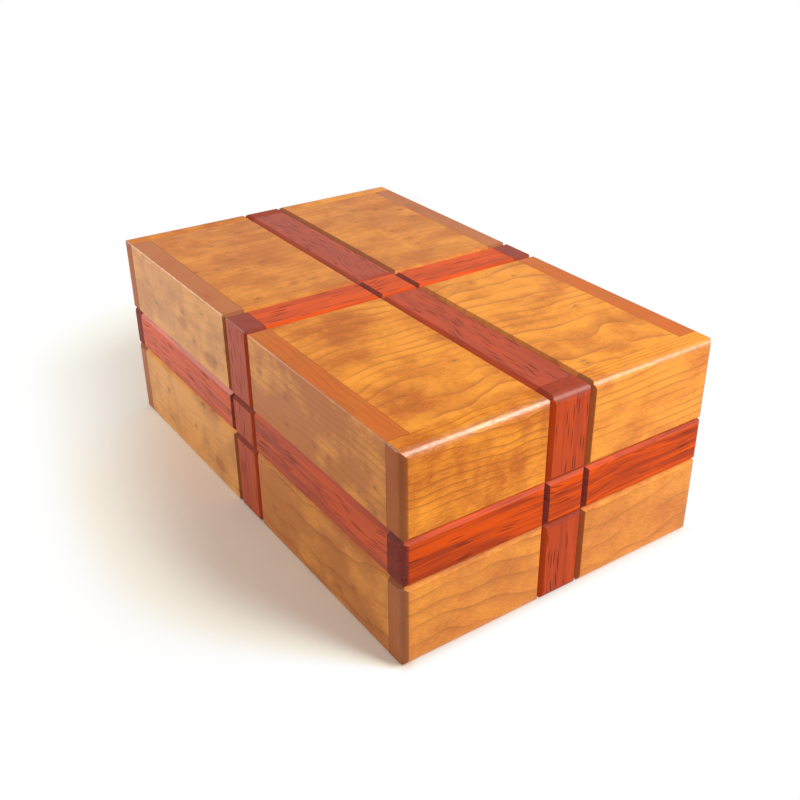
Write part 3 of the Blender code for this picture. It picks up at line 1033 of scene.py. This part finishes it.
def make_floor(colour):
    """A wide pale floor that shows white to the camera and keeps the box's shadow, with painted warm
    light round it.
    """
    shape = bmesh.new()
    bmesh.ops.create_circle(shape, cap_ends=True, segments=FLOOR_CORNERS, radius=FLOOR_RADIUS)
    mesh = bpy.data.meshes.new("floor")
    shape.to_mesh(mesh)
    shape.free()
    floor = bpy.data.objects.new("floor", mesh)
    bpy.context.scene.collection.objects.link(floor)
    tree = Tree(bpy.data.materials.new("floor"), "Principled BSDF")
    tree.shade(Base_Color=(*colour, 1.0), Roughness=FLOOR_ROUGHNESS, Specular_IOR_Level=0.0)
    shadow = shadow_share(tree)
    [x] = tree.split("Object", "X")
    # Painted warm light on the floor round the shadow, fainter toward the far end
    cool = x.smooth(*FAR_END)
    warm = shadow.smooth(*PAINTED_WARMTH_STEP) * (1.0 - cool * FAR_WARMTH_FADE)
    glow = tree.node("ShaderNodeEmission", sockets={"Color": tree.mix(warm, WHITE, PAINTED_WARM_WHITE)})
    # The shaded floor's colour carries painted warm light, more by the near end
    matt = tree.node("ShaderNodeBsdfDiffuse", sockets={"Color": tree.mix(cool, NEAR_SHADE_PAINTED_WARM, FAR_SHADE_PAINTED_WARM)})
    length, width = list(zip(*CAD_BOX))[:2]
    clear = beyond(tree, length, width).smooth(*CONTACT_STEP)
    shown = tree.node("ShaderNodeMixShader", sockets={0: (1.0 - shadow) * clear, 1: matt, 2: glow})
    plain = Socket(tree, tree.shader.outputs[0])
    seen = tree.seen("Camera", "Glossy", "Transmission")
    both = tree.node("ShaderNodeMixShader", sockets={0: seen, 1: plain, 2: shown})
    tree.feed(tree.tree.nodes["Material Output"].inputs["Surface"], both)
    mesh.materials.append(tree.owner)


def make_world(scene):
    """An even pale surround that shows white, with a duller ceiling in reflections."""
    tree = Tree(bpy.data.worlds.new("surround"), "Background")
    side, height = tree.split("Generated", "YZ")
    ceiling = height.smooth(*CEILING_STEP)
    shown = tree.seen("Camera", "Transmission") + tree.seen("Glossy") * (1.0 - ceiling * CEILING_SHADE)
    shaded = side.smooth(*FRONT_STEP) * (1.0 - shown) * FRONT_SHADE
    tree.shade(
        Color=tree.mix(tree.seen("Camera"), SURROUND_TINT, WHITE),
        Strength=shown * (1.0 - SURROUND_LIGHT) + SURROUND_LIGHT - shaded,
    )
    scene.world = tree.owner


def make_light(name, place, size, power):
    """A soft square lamp that faces the box."""
    lamp = bpy.data.lights.new(name, "AREA")
    lamp.shape = "SQUARE"
    lamp.size = size
    lamp.energy = power
    lamp.color = LAMP_TINT
    light = bpy.data.objects.new(name, lamp)
    light.location = place
    light.rotation_euler = Vector(place).to_track_quat("Z", "Y").to_euler()
    bpy.context.scene.collection.objects.link(light)


def make_camera(scene):
    """The photograph's camera."""
    lens = bpy.data.cameras.new("camera")
    lens.sensor_width = SENSOR_WIDTH
    lens.lens = FOCAL_LENGTH / PICTURE_SIZE * SENSOR_WIDTH
    lens.shift_x = (PICTURE_SIZE / 2 - PICTURE_CENTRE[0]) / PICTURE_SIZE
    lens.shift_y = (PICTURE_CENTRE[1] - PICTURE_SIZE / 2) / PICTURE_SIZE
    lens.clip_start = NEAREST_SEEN
    camera = bpy.data.objects.new("camera", lens)
    camera.location = CAMERA_PLACE
    turn = Vector(CAMERA_DIRECTION).to_track_quat("-Z", "Y").to_matrix()
    camera.rotation_euler = (turn @ Matrix.Rotation(CAMERA_ROLL, 3, "Z")).to_euler()
    scene.collection.objects.link(camera)
    scene.camera = camera
    scene.view_settings.view_transform = "Standard"


class PUZZLEBOX_PT_panel(bpy.types.Panel):
    """The box's pieces, sizes and colours in the sidebar"""

    bl_idname = "PUZZLEBOX_PT_panel"
    bl_label = "Puzzle Box"
    bl_space_type = "VIEW_3D"
    bl_region_type = "UI"
    bl_category = "Puzzle Box"

    def draw(self, context):
        """List the pieces' buttons, then the sizes and colours."""
        for step in STEPS:
            self.layout.operator(f"puzzle_box.{step}")
        for group in (context.scene.puzzle_box_sizes, context.scene.puzzle_box_colours):
            for name in group.__annotations__:
                self.layout.prop(group, name)


CLASSES = (
    PUZZLEBOX_PG_sizes,
    PUZZLEBOX_PG_colours,
    PUZZLEBOX_OT_end_walls,
    PUZZLEBOX_OT_long_walls,
    PUZZLEBOX_OT_covers,
    PUZZLEBOX_OT_ring,
    PUZZLEBOX_OT_keys,
    PUZZLEBOX_OT_tray,
    PUZZLEBOX_OT_pins,
    PUZZLEBOX_OT_stage,
    PUZZLEBOX_PT_panel,
)
STEPS = ("end_walls", "long_walls", "covers", "ring", "keys", "tray", "pins", "stage")


def register():
    """Register the classes and hang their properties on the scene."""
    for kind in CLASSES:
        bpy.utils.register_class(kind)
    bpy.types.Scene.puzzle_box_sizes = bpy.props.PointerProperty(type=PUZZLEBOX_PG_sizes)
    bpy.types.Scene.puzzle_box_colours = bpy.props.PointerProperty(type=PUZZLEBOX_PG_colours)


def unregister():
    """Take the properties and classes away again."""
    del bpy.types.Scene.puzzle_box_colours
    del bpy.types.Scene.puzzle_box_sizes
    for kind in reversed(CLASSES):
        bpy.utils.unregister_class(kind)


def main():
    """Dress the whole box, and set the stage."""
    register()
    for step in STEPS:
        getattr(bpy.ops.puzzle_box, step)()


if __name__ == "__main__":
    main()
